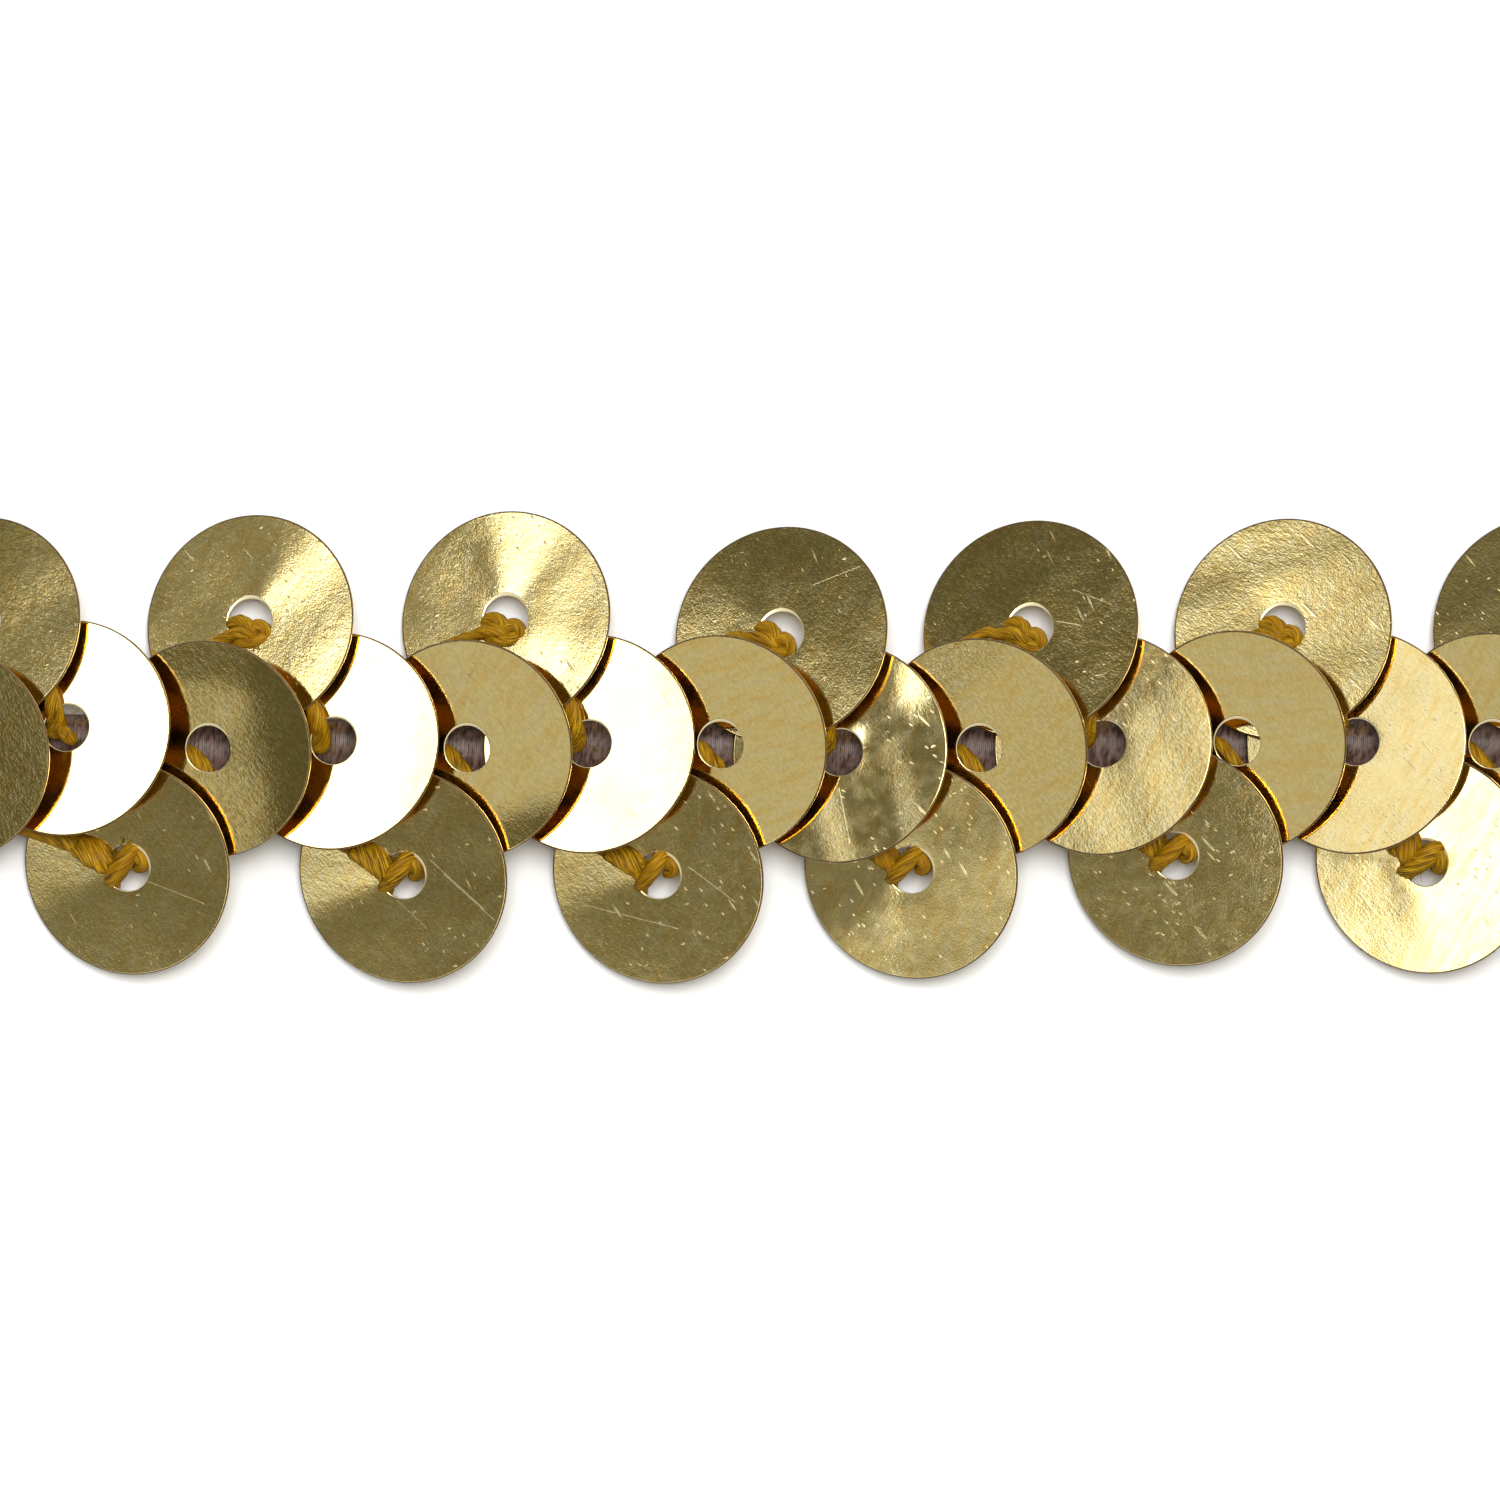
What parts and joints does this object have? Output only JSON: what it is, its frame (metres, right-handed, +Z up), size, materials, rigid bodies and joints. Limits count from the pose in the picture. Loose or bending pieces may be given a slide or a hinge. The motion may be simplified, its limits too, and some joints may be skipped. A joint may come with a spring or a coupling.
{
  "type": "sequin trim",
  "caption": "Cut length of stretch sequin trim: flat gold sequins overlapping in a zigzag, chain stitched on an elastic cord, for edging cloth.",
  "frame": {"origin": "centre of the trim's underside, on the surface that it lies on", "axes": "+X along the trim, the way each sequin's free edge points; +Y across it, towards the upper row; +Z up, out of the sequins' faces"},
  "size_m": [0.0568, 0.0132, 0.0031],
  "materials": {
    "sequin_film": "polished",
    "elastic": "matte",
    "thread": "satin"
  },
  "bodies": {
    "root": {"sequin_1_mid_a": "sequin_film", "sequin_1_upper": "sequin_film", "sequin_1_mid_b": "sequin_film", "sequin_1_lower": "sequin_film", "sequin_2_mid_a": "sequin_film", "sequin_2_upper": "sequin_film", "sequin_2_mid_b": "sequin_film", "sequin_2_lower": "sequin_film", "sequin_3_mid_a": "sequin_film", "sequin_3_upper": "sequin_film", "sequin_3_mid_b": "sequin_film", "sequin_3_lower": "sequin_film", "sequin_4_mid_a": "sequin_film", "sequin_4_upper": "sequin_film", "sequin_4_mid_b": "sequin_film", "sequin_4_lower": "sequin_film", "sequin_5_mid_a": "sequin_film", "sequin_5_upper": "sequin_film", "sequin_5_mid_b": "sequin_film", "sequin_5_lower": "sequin_film", "sequin_6_mid_a": "sequin_film", "sequin_6_upper": "sequin_film", "sequin_6_mid_b": "sequin_film", "sequin_6_lower": "sequin_film", "sequin_7_mid_a": "sequin_film", "sequin_7_upper": "sequin_film", "sequin_7_mid_b": "sequin_film", "sequin_7_lower": "sequin_film", "elastic_cord": "elastic"}
  },
  "joints": []
}
